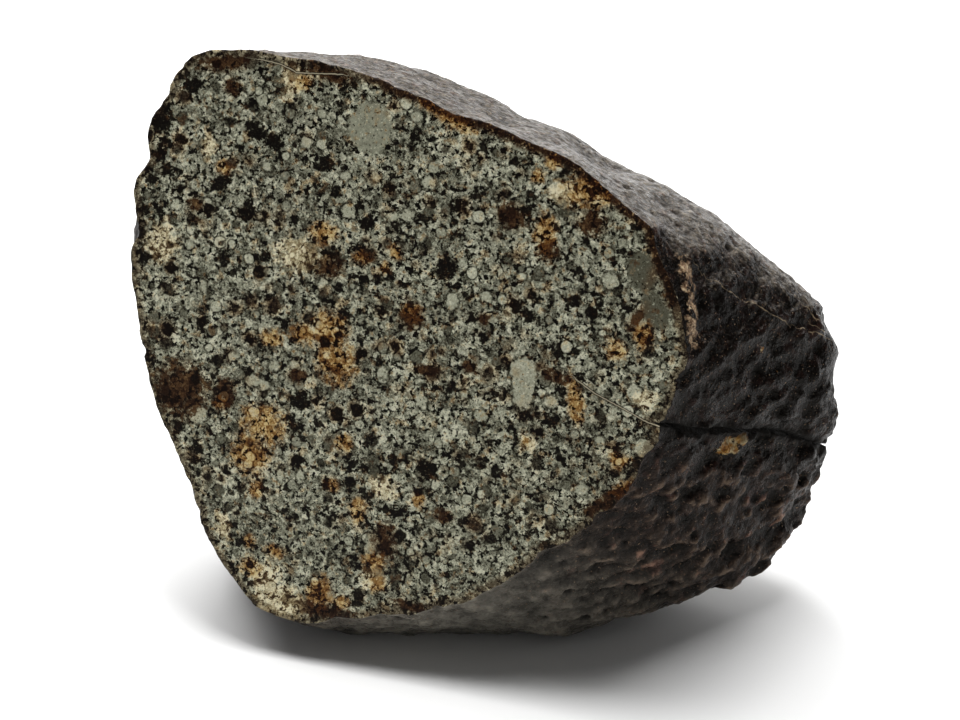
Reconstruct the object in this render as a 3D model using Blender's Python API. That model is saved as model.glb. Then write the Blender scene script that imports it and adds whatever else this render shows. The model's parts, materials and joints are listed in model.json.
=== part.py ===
# Half of a rounded stony meteorite, sawn flat across and polished on the cut.
# One solid piece of stone: a flat leaning cut face, dark crusted flanks with dents,
# wrinkles, pits and an open crack, and a small flat spot underneath that it rests on.
# Lengths in the tables are millimetres from the middle of the cut face; angles are degrees.
# Bearings run round the cut face from +X (right, seen from the front) towards the top.

import math

import bmesh
import bpy
from mathutils import Vector, noise

MM = 0.001

# Cut face
LEAN = 18.0             # the cut face leans back from upright

# Resting spot
BASE_DEPTH = 54.0       # from the middle of the cut face straight down to the table

# Flanks that meet the cut face: bearing, distance from its middle, and how far the
# flank spreads outwards behind the face
FLANKS = [
    (91.0, 43.2, 6.0),
    (79.0, 38.7, 5.0),
    (71.0, 36.4, 3.5),
    (62.0, 38.1, 6.0),
    (48.0, 41.8, 12.5),
    (28.0, 42.0, 28.0),
    (18.0, 43.2, 31.0),
    (-12.0, 42.6, 32.0),
    (-20.0, 42.0, 33.0),
    (-42.0, 41.0, 38.0),
    (-56.0, 40.6, 44.0),
    (-76.0, 44.3, 30.0),
    (-113.0, 54.2, 12.0),
    (-135.0, 52.0, 18.0),
    (-154.0, 47.0, 20.0),
    (-163.0, 48.4, 16.0),
    (-179.0, 51.2, 16.0),
    (166.0, 53.4, 10.0),
    (148.0, 59.0, 8.0),
]

# Facets of the far side, the end and the underside: azimuth from +X towards +Y, height
# above level, and distance from the middle of the cut face
BACKS = [
    (12.0, 4.0, 71.8),
    (30.0, -22.0, 78.0),
    (46.0, 4.0, 68.2),
    (64.0, 42.0, 44.2),
    (76.0, -4.0, 52.0),
    (70.0, -46.0, 64.0),
    (112.0, 36.0, 48.0),
    (138.0, -12.0, 50.0),
    (170.0, -14.0, 60.0),
    (-22.0, -79.0, 55.4),
    (100.0, -78.0, 58.0),
    (180.0, -70.0, 58.0),
]

# How crisp the rounded edges between facets are
CRISPNESS = 34.0

# Surface grid of the crust: squares along each side of the sheet wrapped round the stone
GRID = 64

# Uneven surface of the crust: height and width of its broad and small swells
BROAD_SWELL = (1.3, 19.0)
SMALL_SWELL = (0.7, 7.0)

# Small pits scattered over the crust: distance apart, width and depth
PIT_SPACING = 8.5
PIT_WIDTH = 6.0
PIT_DEPTH = 1.0

# Long wrinkles of the right flank: height, width across, length along, and where round
# the stone they are: middle bearing, middle angle behind the cut face, and half spread
WRINKLE_HEIGHT = 2.4
WRINKLE_WIDTH = 5.0
WRINKLE_LENGTH = 17.0
WRINKLE_RUN = (0.60, 1.0, 0.25)
WRINKLE_PLACE = (-12.0, 22.0, 34.0)

# Single hollows and lumps: bearing, angle behind the cut face, width, and depth
# (a lump has a depth below zero)
HOLLOWS = [
    (52.0, 24.0, 20.0, 2.4),
    (99.0, 16.0, 13.0, 1.2),
    (-178.0, 12.0, 15.0, -1.6),
    (-138.0, 14.0, 16.0, -2.2),
    (-7.5, 29.0, 7.0, 1.1),
    (-15.5, 31.0, 7.0, 1.2),
    (-21.5, 30.0, 8.0, 1.0),
    (-32.0, 21.0, 10.0, 1.3),
    (-26.0, 31.0, 15.0, -2.2),
    (-36.0, 27.0, 15.0, -1.5),
    (-62.0, 17.0, 27.0, -1.9),
    (-50.5, 0.0, 6.0, 1.3),
    (167.0, 0.0, 6.0, 1.8),
    (155.0, 0.0, 7.0, 1.5),
    (149.0, 0.0, 7.0, -1.0),
    (32.0, 2.0, 8.0, -0.9),
    (150.0, 34.0, 18.0, 2.0),
    (100.0, 58.0, 20.0, 2.2),
    (30.0, 62.0, 17.0, 1.8),
    (-40.0, 68.0, 15.0, 1.6),
    (-170.0, 50.0, 14.0, 1.5),
]

# Open crack in the right flank: bearing, angle behind the cut face, gap at the surface and
# depth, from where it opens at the cut face's edge to where it closes at the back
CRACK = [
    (-10.4, -2.5, 0.5, 1.2),
    (-10.8, 2.5, 1.0, 2.2),
    (-11.2, 9.0, 1.5, 2.8),
    (-11.0, 14.5, 1.1, 2.4),
    (-10.8, 18.0, 0.7, 1.8),
    (-10.6, 22.0, 1.7, 3.0),
    (-11.4, 26.5, 1.9, 3.2),
    (-12.6, 31.0, 1.6, 2.8),
    (-14.6, 38.0, 0.8, 1.6),
    (-15.4, 42.0, 0.2, 0.5),
]
CUTTER_STANDS_OUT = 1.6

STONE_COLOUR = (0.045, 0.038, 0.032, 1.0)
STONE_ROUGHNESS = 0.42


def clear_scene():
    for item in list(bpy.data.objects):
        bpy.data.objects.remove(item, do_unlink=True)


# Directions of the cut face: out of it, along it to the right, and along it upwards
lean = math.radians(LEAN)
FACE_OUT = Vector((0.0, -math.cos(lean), math.sin(lean)))
FACE_RIGHT = Vector((1.0, 0.0, 0.0))
FACE_UP = Vector((0.0, math.sin(lean), math.cos(lean)))


def flank_facet(bearing, distance, flare):
    """Plane through the cut face's edge, as its outward normal and distance."""
    turn = math.radians(bearing)
    spread = math.radians(flare)
    along_face = math.cos(turn) * FACE_RIGHT + math.sin(turn) * FACE_UP
    normal = math.cos(spread) * along_face + math.sin(spread) * FACE_OUT
    return normal, distance * math.cos(spread)


def far_facet(azimuth, height, distance):
    turn = math.radians(azimuth)
    rise = math.radians(height)
    normal = Vector((math.cos(turn) * math.cos(rise), math.sin(turn) * math.cos(rise), math.sin(rise)))
    return normal, distance


FACETS = [flank_facet(*row) for row in FLANKS] + [far_facet(*row) for row in BACKS]


def rounded_reach(direction):
    """Distance from the cut face's middle to the rounded many-sided form."""
    total = 0.0
    for normal, distance in FACETS:
        lean_towards = normal.dot(direction) / distance
        if lean_towards > 0.0:
            total += lean_towards ** CRISPNESS
    return total ** (-1.0 / CRISPNESS)


SWELL_SHIFT = Vector((31.0, 7.0, 13.0))


def swell(point, size):
    height, width = size
    return height * noise.noise(point / width)


def stone_direction(bearing, behind):
    """Direction at a bearing round the cut face and an angle behind its plane."""
    turn = math.radians(bearing)
    dip = math.radians(behind)
    along_face = math.cos(turn) * FACE_RIGHT + math.sin(turn) * FACE_UP
    return math.cos(dip) * along_face - math.sin(dip) * FACE_OUT


def fade(distance, width):
    """One in the middle of a round patch, falling smoothly to nothing at its edge."""
    share = max(0.0, 1.0 - (2.0 * distance / width) ** 2)
    return share * share


def wrinkles(point, direction):
    bearing, behind, spread = WRINKLE_PLACE
    apart = math.degrees(direction.angle(stone_direction(bearing, behind)))
    along = Vector(WRINKLE_RUN).normalized()
    run = point.dot(along)
    across = point - along * run
    folds = noise.noise(across / WRINKLE_WIDTH + along * (run / WRINKLE_LENGTH))
    return WRINKLE_HEIGHT * folds * fade(apart, 2.0 * spread)


def pits(point):
    nearest = noise.voronoi(point / PIT_SPACING)[0][0] * PIT_SPACING
    return PIT_DEPTH * fade(nearest, PIT_WIDTH)


def hollows(point):
    depth = 0.0
    for place, width, deep in HOLLOW_PLACES:
        depth += deep * fade((point - place).length, width)
    return depth


HOLLOW_PLACES = [
    (stone_direction(bearing, behind) * rounded_reach(stone_direction(bearing, behind)), width, deep)
    for bearing, behind, width, deep in HOLLOWS
]


def reach(direction):
    radius = rounded_reach(direction)
    point = direction * radius
    radius += swell(point, BROAD_SWELL) + swell(point + SWELL_SHIFT, SMALL_SWELL)
    radius += wrinkles(point, direction) - hollows(point) - pits(point)
    if direction.z < 0.0:
        radius = min(radius, -BASE_DEPTH / direction.z)
    return radius


def sheet_direction(across, up):
    """Direction from the cut face's middle for a place on a square sheet from -1 to 1.

    The sheet's edge lies along the cut face's edge and its middle points straight back,
    with equal areas of the sheet covering equal areas of the stone.
    """
    if across == 0.0 and up == 0.0:
        return -FACE_OUT
    if abs(across) > abs(up):
        disc = abs(across)
        turn = math.pi / 4 * up / across + (math.pi if across < 0 else 0.0)
    else:
        disc = abs(up)
        turn = math.pi / 2 - math.pi / 4 * across / up + (math.pi if up < 0 else 0.0)
    outward = disc * math.sqrt(2.0 - disc * disc)
    inward = 1.0 - disc * disc
    along_face = math.cos(turn) * FACE_RIGHT + math.sin(turn) * FACE_UP
    return outward * along_face - inward * FACE_OUT


def stone_mesh():
    mesh = bpy.data.meshes.new("stone")
    shape = bmesh.new()
    bmesh.ops.create_grid(shape, x_segments=GRID, y_segments=GRID, size=1.0)
    for vert in shape.verts:
        direction = sheet_direction(round(vert.co.x, 6), round(vert.co.y, 6))
        vert.co = direction * reach(direction)
    rim = [edge for edge in shape.edges if edge.is_boundary]
    bmesh.ops.contextual_create(shape, geom=rim)
    bmesh.ops.recalc_face_normals(shape, faces=shape.faces)
    shape.to_mesh(mesh)
    shape.free()
    return mesh


def crack_mesh():
    """Wedge-shaped solid that lies in the crack, with one three-cornered ring per row."""
    mesh = bpy.data.meshes.new("crack_cutter")
    wedge = bmesh.new()
    places = [stone_direction(bearing, behind) for bearing, behind, gap, depth in CRACK]
    rings = []
    for index, (bearing, behind, gap, depth) in enumerate(CRACK):
        outward = places[index]
        before = places[max(index - 1, 0)]
        after = places[min(index + 1, len(places) - 1)]
        sideways = outward.cross(after - before).normalized()
        surface = outward * reach(outward)
        half_gap = gap / 2 * (depth + CUTTER_STANDS_OUT) / depth
        outer = surface + outward * CUTTER_STANDS_OUT
        corners = (outer - sideways * half_gap, outer + sideways * half_gap, surface - outward * depth)
        rings.append([wedge.verts.new(corner) for corner in corners])
    for near, far in zip(rings, rings[1:]):
        for corner in range(3):
            following = (corner + 1) % 3
            wedge.faces.new((near[corner], near[following], far[following], far[corner]))
    wedge.faces.new(rings[0])
    wedge.faces.new(rings[-1])
    bmesh.ops.recalc_face_normals(wedge, faces=wedge.faces)
    wedge.to_mesh(mesh)
    wedge.free()
    return mesh


def stone_material():
    material = bpy.data.materials.new("crusted_stone")
    material.use_nodes = True
    shader = material.node_tree.nodes["Principled BSDF"]
    shader.inputs["Base Color"].default_value = STONE_COLOUR
    shader.inputs["Roughness"].default_value = STONE_ROUGHNESS
    shader.inputs["Metallic"].default_value = 0.0
    return material


def foot_middle(mesh):
    """Middle of the mesh's box, at the height of its lowest point."""
    lows = [min(vert.co[axis] for vert in mesh.vertices) for axis in range(3)]
    highs = [max(vert.co[axis] for vert in mesh.vertices) for axis in range(3)]
    return Vector(((lows[0] + highs[0]) / 2, (lows[1] + highs[1]) / 2, lows[2]))


def add_object(name, mesh, foot):
    """Put a mesh made in millimetres round the cut face's middle into the scene, in metres,
    with the stone's foot at the origin."""
    for vert in mesh.vertices:
        vert.co = (vert.co - foot) * MM
    item = bpy.data.objects.new(name, mesh)
    bpy.context.collection.objects.link(item)
    return item


def build():
    clear_scene()
    mesh = stone_mesh()
    mesh.materials.append(stone_material())
    foot = foot_middle(mesh)
    stone = add_object("stone", mesh, foot)
    cutter = add_object("crack_cutter", crack_mesh(), foot)
    cutter.hide_render = True
    cutter.display_type = "WIRE"
    crack = stone.modifiers.new("crack", "BOOLEAN")
    crack.operation = "DIFFERENCE"
    crack.object = cutter


build()
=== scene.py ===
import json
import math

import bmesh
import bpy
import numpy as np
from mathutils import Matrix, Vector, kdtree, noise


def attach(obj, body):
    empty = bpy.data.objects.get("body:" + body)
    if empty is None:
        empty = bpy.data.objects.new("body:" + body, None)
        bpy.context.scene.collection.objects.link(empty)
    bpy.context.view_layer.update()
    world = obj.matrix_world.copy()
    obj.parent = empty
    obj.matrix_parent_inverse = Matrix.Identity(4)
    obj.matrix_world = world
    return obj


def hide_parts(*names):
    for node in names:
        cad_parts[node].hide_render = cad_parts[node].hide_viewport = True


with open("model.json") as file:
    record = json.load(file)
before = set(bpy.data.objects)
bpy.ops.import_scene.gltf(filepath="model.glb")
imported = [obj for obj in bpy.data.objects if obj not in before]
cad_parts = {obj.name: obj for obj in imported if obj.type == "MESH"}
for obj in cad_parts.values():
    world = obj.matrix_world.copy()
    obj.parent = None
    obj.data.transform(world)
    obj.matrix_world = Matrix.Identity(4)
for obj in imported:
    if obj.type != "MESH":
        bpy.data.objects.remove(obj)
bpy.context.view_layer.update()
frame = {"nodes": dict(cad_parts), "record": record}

# Half of a stony meteorite, sawn across and polished, standing on its small flat spot.
# The finished stone is carved from a copy of the CAD solid: it is remeshed finely, given the
# leathery dents, folds and pits of its crust, sawn flat again and cracked again, and then
# coloured. Sizes are millimetres and angles degrees, and places on the cut face are measured
# from its middle, to the right and upwards.

MM = 0.001

# Directions of the cut face, read from the part's own mount
cut_mount = [mount for mount in frame["record"]["mounts"] if mount["name"] == "cut_face"][0]
FACE_MIDDLE = Vector(cut_mount["pos_m"])
FACE_OUT = Vector(cut_mount["axis"]).normalized()
FACE_RIGHT = Vector((1.0, 0.0, 0.0))
FACE_UP = FACE_OUT.cross(FACE_RIGHT)
FACE_TURN = math.degrees(math.acos(FACE_OUT.z))

# Camera: where it stands, seen from the middle of the cut face, and its lens
CAMERA_PLACE = (91.7, -248.8, 131.5)
CAMERA_AZIMUTH = 18.0
CAMERA_ELEVATION = 27.0
CAMERA_LENS = 70.0

# Carving
CRUST_GRAIN = 0.65          # mesh size of the crust
SAWN_GRAIN = 0.60           # mesh size of the sawn face
SPARE_STONE = 4.0           # stone left in front of the cut and below until it is taken off
SOFTENING = 14              # rounds of smoothing that take the facets off
HOLLOW_SMOOTHING = 30                   # rounds of smoothing that show where the hollows are
SAW_SPAN = 112.0
SAW_THICK = 9.0
SAME_POINT = 0.002          # points of the CAD mesh closer than this are one
LEVEL = 0.9995              # how squarely a face must look one way to be picked
ON_PLANE = 0.05             # how near the plane of the cut or of the foot it must lie
WEIGHT_STEPS = 50           # how finely the strength of a change is graded
SMOOTH_ANGLE = 60.0         # edges sharper than this stay sharp

# Relief of the crust: grain size and height of each pattern, and how much of it goes inwards
DENTS = (5.0, 2.3)
LEATHER = (2.5, 0.62)
CREASES = (1.3, 0.22)
ROOF_PITTING = (1.3, 0.27)
FOLDS = (1.0, 2.1)
FOLD_ACROSS = 2.6
FOLD_ALONG = 8.0
FOLD_RUN = (0.60, 1.0, 0.25)
INWARD_SHARE = 0.60

# Single pits of the right flank: place from the middle of the cut face, width and depth
PITS = [
    ((38.0, 1.5, -36.0), 3.4, 0.9),
    ((27.5, -4.5, -39.5), 2.4, 0.8),
    ((36.0, -2.0, -30.0), 2.2, 0.7),
    ((45.5, 6.5, -31.5), 2.4, 0.8),
    ((34.0, 1.5, -43.0), 1.8, 0.6),
    ((42.0, 2.5, -28.5), 2.6, 0.6),
    ((44.0, 3.5, -22.0), 2.6, 0.7),
    ((52.0, 14.0, -22.5), 3.0, 0.8),
    ((59.5, 25.5, -29.0), 3.4, 0.9),
    ((50.0, 14.0, -38.5), 5.5, 0.8),
    ((58.5, 24.5, -36.5), 4.0, 0.6),
]
SCATTERED_PITS = 260
PIT_WIDTHS = (1.4, 2.6)
PIT_DEPTH = 0.55
PIT_DRAW = 12               # seed of the random draw of the scattered pits

# Open crack in the right flank: bearing round the cut face, angle behind its plane, gap at
# the surface and depth, from the cut face to where it closes
CRACK = [
    (-10.4, 0.8, 0.5, 1.8),
    (-10.8, 4.0, 0.9, 2.4),
    (-11.2, 9.0, 1.7, 3.4),
    (-11.0, 14.5, 1.3, 3.0),
    (-10.8, 18.0, 0.45, 1.8),
    (-10.6, 22.0, 1.5, 3.4),
    (-11.4, 26.0, 0.9, 2.4),
    (-12.6, 29.5, 0.35, 1.2),
    (-14.6, 38.0, 0.20, 0.9),
    (-15.4, 42.0, 0.10, 0.5),
]
CRACK_STEPS = 5             # cuts between one row of the crack and the next
CRACK_WANDER = 0.45         # how far its line strays to either side
CUTTER_STANDS_OUT = 1.6     # how far the wedge stands out of the stone
OUTSIDE = 150.0             # far enough from the middle of the cut face to be off the stone
SLIVER = 0.004              # points closer than this are merged after the cuts

# Coarse corner at the far right that is rubbed smooth, and the rounds that rub it and the groove
FAR_CORNER = (63.5, 34.2, -8.4)
GROOVE_RUBS = 90

# Stretches of the crust, by bearing round the cut face: where each begins, is full, fades and ends
RIGHT_FLANK = (-72.0, -42.0, -5.0, 30.0)
RIGHT_END = (-50.0, -25.0, 25.0, 40.0)
UNDERSIDE = (-130.0, -110.0, -60.0, -35.0)
# Right end that is darker, partly its blacker crust and partly painted shade
SHADED_BLACK_END = (-22.0, -12.0, 24.0, 38.0)
# Foot of the crust where the floor's reflection is painted in as a paler grey
REFLECTING_FOOT = (-118.0, -88.0, -78.0, -30.0)
RUSTY_RIM = (5.0, 25.0, 95.0, 115.0)

# Edge of the cut face: how far behind its plane the crust begins, and how far its rim reaches
CRUST_BEGINS = 0.02
RIM_ENDS = 0.7
FAR_OFF = 9.0               # distance given to places that no line and no rim is near

# Pale round chondrules of the cut face: right, up, half length, half width, turn
PALE_GRAINS = [
    (-31.5, 36.5, 0.8, 0.8, 0),
    (-3.0, 35.0, 1.0, 1.0, 0),
    (0.0, 25.0, 1.4, 1.1, 0),
    (-9.0, 25.0, 1.1, 0.8, 0),
    (-14.0, 24.5, 1.0, 0.8, 0),
    (-21.0, 29.0, 1.1, 1.0, 0),
    (-27.5, 24.5, 1.0, 0.8, 0),
    (-28.0, 16.5, 0.7, 0.6, 0),
    (-43.0, 16.5, 1.0, 1.0, 0),
    (-13.0, 19.0, 1.3, 1.3, 0),
    (-3.0, 19.5, 1.3, 1.1, 0),
    (-5.5, 19.0, 1.0, 0.8, 0),
    (-16.5, 7.0, 1.1, 0.8, 30),
    (5.5, 7.0, 1.5, 1.1, 90),
    (-3.5, 16.0, 0.7, 0.6, 0),
    (-0.5, 16.5, 1.0, 0.8, 60),
    (-37.0, 3.5, 1.4, 0.6, 110),
    (20.5, 26.5, 1.4, 1.3, 0),
    (11.0, 8.5, 1.1, 1.0, 0),
    (30.5, 13.5, 1.4, 1.3, 0),
    (19.5, 11.5, 0.8, 0.6, 0),
    (35.0, 8.0, 1.8, 1.4, 0),
    (-27.0, -10.5, 1.4, 1.1, 20),
    (-25.0, -11.0, 1.1, 1.0, 0),
    (-23.5, -7.5, 1.1, 1.0, 0),
    (-20.0, -7.0, 1.0, 0.8, 0),
    (-31.0, -7.0, 1.0, 0.8, 0),
    (-21.5, -12.5, 0.8, 0.7, 0),
    (-5.0, -6.0, 1.1, 1.1, 0),
    (2.0, -9.5, 1.4, 1.0, 120),
    (1.5, -6.5, 0.8, 0.6, 0),
    (-17.5, -25.0, 1.3, 0.8, 100),
    (-21.0, -25.5, 1.1, 0.6, 90),
    (18.2, -2.4, 2.3, 2.3, 0),
    (18.4, -4.6, 4.2, 1.9, 93),
    (23.0, -6.5, 1.3, 1.1, 0),
    (12.0, -10.5, 1.3, 1.1, 0),
    (9.0, -7.5, 0.8, 0.8, 0),
    (36.0, -3.0, 1.3, 1.3, 0),
    (38.5, -11.5, 1.8, 1.6, 0),
    (31.5, -11.5, 1.0, 0.8, 0),
    (29.5, -19.5, 1.3, 1.1, 0),
    (-36.5, -17.5, 1.9, 1.6, 0),
    (-4.3, -34.5, 2.4, 1.1, 75),
]

# Dark clasts of the cut face
DARK_CLASTS = [
    (-41.5, 36.0, 1.8, 1.4, 0),
    (-47.0, 30.0, 2.6, 1.8, 80),
    (-45.0, 22.0, 1.4, 1.1, 0),
    (-35.5, 21.0, 2.2, 1.3, 30),
    (-30.0, 30.0, 2.2, 1.4, 140),
    (-26.5, 28.5, 1.9, 1.1, 150),
    (-17.5, 26.0, 1.6, 1.3, 0),
    (-48.5, 15.0, 1.3, 1.1, 0),
    (-30.0, 17.5, 1.6, 1.1, 120),
    (-9.5, 17.5, 1.4, 1.3, 100),
    (-15.5, 22.0, 1.1, 1.0, 0),
    (-6.5, 23.5, 1.3, 1.0, 0),
    (-3.0, 32.0, 1.3, 1.0, 100),
    (4.0, 12.0, 1.9, 1.8, 100),
    (-2.0, 16.5, 0.7, 0.6, 0),
    (5.0, 22.0, 1.3, 1.1, 0),
    (-18.5, -12.5, 1.9, 1.7, 0),
    (-18.5, -17.0, 1.1, 1.1, 0),
    (4.0, -20.5, 2.2, 1.4, 150),
    (19.5, -9.5, 1.3, 0.8, 0),
    (23.5, -9.5, 1.8, 1.1, 0),
    (-36.0, -23.5, 1.1, 1.1, 0),
    (18.0, 6.5, 1.3, 1.3, 0),
    (-20.0, -16.0, 1.6, 1.0, 140),
]

# Smooth fine-grained clasts, grey and olive
GREY_CLASTS = [
    (-10.5, 32.5, 3.7, 4.2, 10),
]
OLIVE_CLASTS = [
    (35.2, 15.5, 2.3, 3.2, 15),
    (38.0, 9.8, 1.9, 3.2, 28),
]

# Stains of the cut face: right, up, half length, half width, turn
CREAM_PATCHES = [
    (-24.5, 38.5, 1.8, 3.2, 0),
    (-38.0, 26.5, 1.2, 2.4, 0),
    (-45.0, 10.0, 3.0, 3.4, 0),
    (-21.0, 11.0, 4.2, 2.8, 0),
    (-3.0, -24.5, 2.8, 2.0, 0),
    (22.0, 26.0, 2.6, 2.0, 0),
    (-30.5, -35.5, 1.4, 2.8, 20),
    (-22.0, -43.5, 2.6, 3.2, 0),
    (-19.0, -46.5, 4.6, 3.0, 0),
    (-3.5, -39.5, 2.4, 2.8, 0),
    (38.0, -4.0, 2.0, 1.6, 0),
    (20.0, -13.5, 1.6, 1.6, 0),
]
OCHRE_PATCHES = [
    (-22.5, 38.5, 1.8, 1.4, 0),
    (-35.0, 23.5, 1.5, 1.4, 0),
    (-17.0, 15.0, 2.6, 2.0, 0),
    (-10.0, 12.0, 1.8, 1.4, 0),
    (-4.5, 13.5, 1.1, 1.4, 0),
    (-6.0, 11.0, 0.9, 1.1, 0),
    (3.0, 35.2, 4.2, 1.4, -22),
    (-1.0, 37.0, 2.0, 1.1, -30),
    (19.5, 30.5, 1.3, 1.3, 0),
    (17.5, 28.0, 1.2, 1.2, 0),
    (19.5, 19.5, 1.8, 3.4, 0),
    (25.5, 26.5, 4.2, 2.6, 0),
    (-14.5, -0.5, 3.4, 3.8, 0),
    (-12.8, -5.5, 3.8, 3.6, 0),
    (-19.0, -1.5, 2.6, 1.8, 0),
    (-24.5, -3.0, 2.1, 1.4, 0),
    (-32.5, -15.0, 1.4, 1.4, 0),
    (-24.5, -17.5, 4.2, 3.6, 0),
    (-26.5, -22.5, 3.6, 4.0, 0),
    (-25.0, -28.5, 1.5, 1.5, 0),
    (-10.5, -18.5, 1.7, 1.7, 0),
    (-7.0, -29.0, 1.6, 2.3, 0),
    (27.0, -6.0, 1.4, 3.8, 15),
    (36.5, 6.0, 1.8, 2.3, 0),
    (32.5, 3.0, 1.8, 1.7, 0),
    (35.0, -14.0, 1.7, 1.4, 0),
    (-3.5, -37.0, 2.2, 1.8, 0),
    (-2.5, -40.5, 1.8, 1.4, 0),
    (-12.5, -44.0, 2.2, 3.2, 0),
    (-8.5, -45.0, 1.4, 1.4, 0),
    (-12.0, -25.5, 1.6, 1.3, 0),
    (3.0, -25.5, 1.3, 1.3, 0),
    (-25.5, -37.5, 1.3, 1.3, 0),
    (-21.0, -38.5, 1.8, 1.4, 0),
    (-25.0, -42.0, 2.4, 1.5, 0),
    (36.0, -18.5, 2.6, 1.3, 40),
    (-1.0, 4.5, 2.0, 1.7, 0),
    (19.8, -13.5, 0.8, 0.9, 0),
]
BROWN_PATCHES = [
    (-40.0, -14.0, 4.8, 5.0, 0),
    (-32.0, -13.5, 2.0, 2.6, 0),
    (26.5, 22.0, 2.5, 2.1, 0),
    (14.0, 21.5, 2.5, 2.1, 0),
    (20.0, 17.0, 1.9, 1.9, 0),
    (-1.0, 3.2, 2.2, 1.7, 0),
    (2.0, -4.5, 3.0, 0.9, 0),
    (9.5, -3.0, 1.3, 1.1, 0),
    (11.0, 5.0, 1.1, 1.1, 0),
    (-15.5, 10.0, 2.6, 2.1, 0),
    (34.0, -20.5, 5.0, 1.4, 38),
    (-36.0, 40.3, 5.0, 1.6, 10),
    (-18.5, 40.3, 4.6, 1.3, -12),
    (-11.5, -47.0, 6.4, 1.5, 0),
    (3.5, -43.5, 4.0, 1.1, 0),
    (-2.0, -33.5, 2.2, 3.2, 0),
    (23.5, -2.5, 2.4, 1.1, -10),
    (7.5, -27.5, 1.6, 1.1, 0),
    (-19.5, -8.5, 2.0, 1.3, 0),
    (37.2, 16.0, 0.9, 3.4, -20),
    (35.3, 8.5, 1.0, 2.8, -30),
    (40.3, 13.0, 1.5, 2.4, 0),
    (-34.5, 36.5, 1.6, 1.4, 0),
    (-39.5, 17.0, 1.6, 1.3, 0),
]

# Thin open lines in the cut face, as points from end to end
FACE_CRACKS = [
    [(26.5, -2.3), (30.0, -4.2), (35.0, -6.0), (38.5, -7.4), (41.9, -8.0)],
    [(-30.0, 41.3), (-26.5, 40.9), (-23.5, 39.8), (-16.0, 40.3)],
    [(37.6, 21.5), (39.3, 16.0), (40.6, 13.2), (42.4, 10.0)],
]

# Patches of the crust: place from the middle of the cut face, and width
PALE_CHIPS = [
    ((49.1, 10.7, -16.8), 5.0),
    ((51.0, 12.8, -15.8), 3.0),
    ((53.0, 16.0, -1.2), 1.8),
]
RUDDY_PATCHES = [
    ((47.2, 7.9, -18.6), 5.0),
    ((43.3, 6.5, 3.0), 6.0),
    ((39.5, 3.5, -37.5), 5.0),
    ((38.0, 0.0, -32.5), 3.0),
    ((37.5, 4.3, -43.0), 3.5),
    ((60.0, 29.0, -2.7), 9.0),
    ((46.0, 10.0, -41.5), 3.5),
    ((54.0, 18.0, -30.0), 7.0),
]

# Chipped bronze-brown ridge beside the right edge of the cut face
BRONZE_RIDGE = [(40.6, 9.0, 15.2), (41.8, 8.0, 13.0), (42.6, 5.5, 10.0), (44.1, 3.8, 5.4)]
RIDGE_HEIGHT = 0.25

# Thin pale veins of the crust, as points from end to end
VEINS = [
    [(41.5, 10.5, 16.0), (46.7, 14.1, 9.2), (49.8, 17.7, 6.2),
     (53.2, 20.4, 3.0), (57.1, 24.7, -0.4), (61.5, 31.6, -5.1)],
    [(57.5, 29.1, 1.6), (59.0, 29.5, -1.5), (60.5, 30.5, -3.5)],
]

# How much every colour below is brightened, set against the photograph's own brightness
LIGHT_ON_STONE = 1.40

# Colours of the sawn face from its darkest grains to its palest, fresh and rust-stained
FRESH = [
    (0.00, (10, 8, 6)),
    (0.16, (34, 31, 24)),
    (0.34, (72, 71, 58)),
    (0.50, (103, 103, 88)),
    (0.64, (130, 131, 113)),
    (0.80, (158, 158, 138)),
    (0.95, (188, 187, 166)),
]
STAINED = [
    (0.00, (12, 6, 3)),
    (0.16, (34, 20, 12)),
    (0.34, (66, 46, 28)),
    (0.50, (98, 77, 50)),
    (0.64, (128, 109, 76)),
    (0.80, (160, 143, 106)),
    (0.95, (190, 180, 148)),
]
CREAM = [
    (0.00, (26, 17, 10)),
    (0.20, (66, 48, 30)),
    (0.45, (122, 106, 76)),
    (0.70, (164, 152, 118)),
    (0.95, (208, 200, 170)),
]
OCHRE = [
    (0.00, (14, 6, 2)),
    (0.15, (40, 19, 7)),
    (0.34, (84, 50, 20)),
    (0.55, (124, 86, 38)),
    (0.75, (152, 122, 68)),
    (0.95, (186, 166, 116)),
]

# Colours of the crust: flanks, roof (paler partly as painted sheen), painted reflection of the floor on the
# foot, chipped ridge and ruddy patches
CRUST = [
    (0.00, (3, 2, 1)),
    (0.25, (10, 6, 5)),
    (0.50, (22, 15, 12)),
    (0.75, (42, 32, 26)),
    (1.00, (84, 70, 58)),
]
ROOF = [
    (0.00, (8, 6, 5)),
    (0.25, (26, 22, 19)),
    (0.50, (52, 47, 41)),
    (0.75, (86, 79, 69)),
    (1.00, (128, 119, 104)),
]
FLOOR_REFLECTION_GREYS = [
    (0.00, (10, 9, 8)),
    (0.25, (34, 32, 29)),
    (0.50, (58, 56, 51)),
    (0.75, (84, 81, 74)),
    (1.00, (112, 108, 98)),
]
BRONZE = [
    (0.00, (10, 7, 6)),
    (0.25, (38, 26, 20)),
    (0.50, (84, 64, 48)),
    (0.75, (140, 116, 90)),
    (1.00, (186, 166, 136)),
]
RUDDY = [
    (0.00, (6, 3, 3)),
    (0.25, (20, 11, 9)),
    (0.50, (40, 25, 21)),
    (0.75, (70, 48, 40)),
    (1.00, (120, 90, 74)),
]

# Floor and lights, in metres: place, size and power of each light
FLOOR_SPAN = 3.0
PAPER = (0.86, 0.86, 0.855, 1.0)
PAPER_ROUGHNESS = 0.9
TOP_LIGHT = ((0.03, 0.09, 0.75), 0.30, 4.6)
LEFT_LIGHT = ((-0.30, 0.22, 0.63), 0.50, 5.6)
BACK_LIGHT = ((-0.20, 0.95, 0.28), 1.30, 15.5)
SKY_STRENGTH = 0.12
LIGHTS_AIM = (0.0, 0.0, 0.04)


def select_only(item):
    bpy.ops.object.select_all(action="DESELECT")
    item.select_set(True)
    bpy.context.view_layer.objects.active = item


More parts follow.
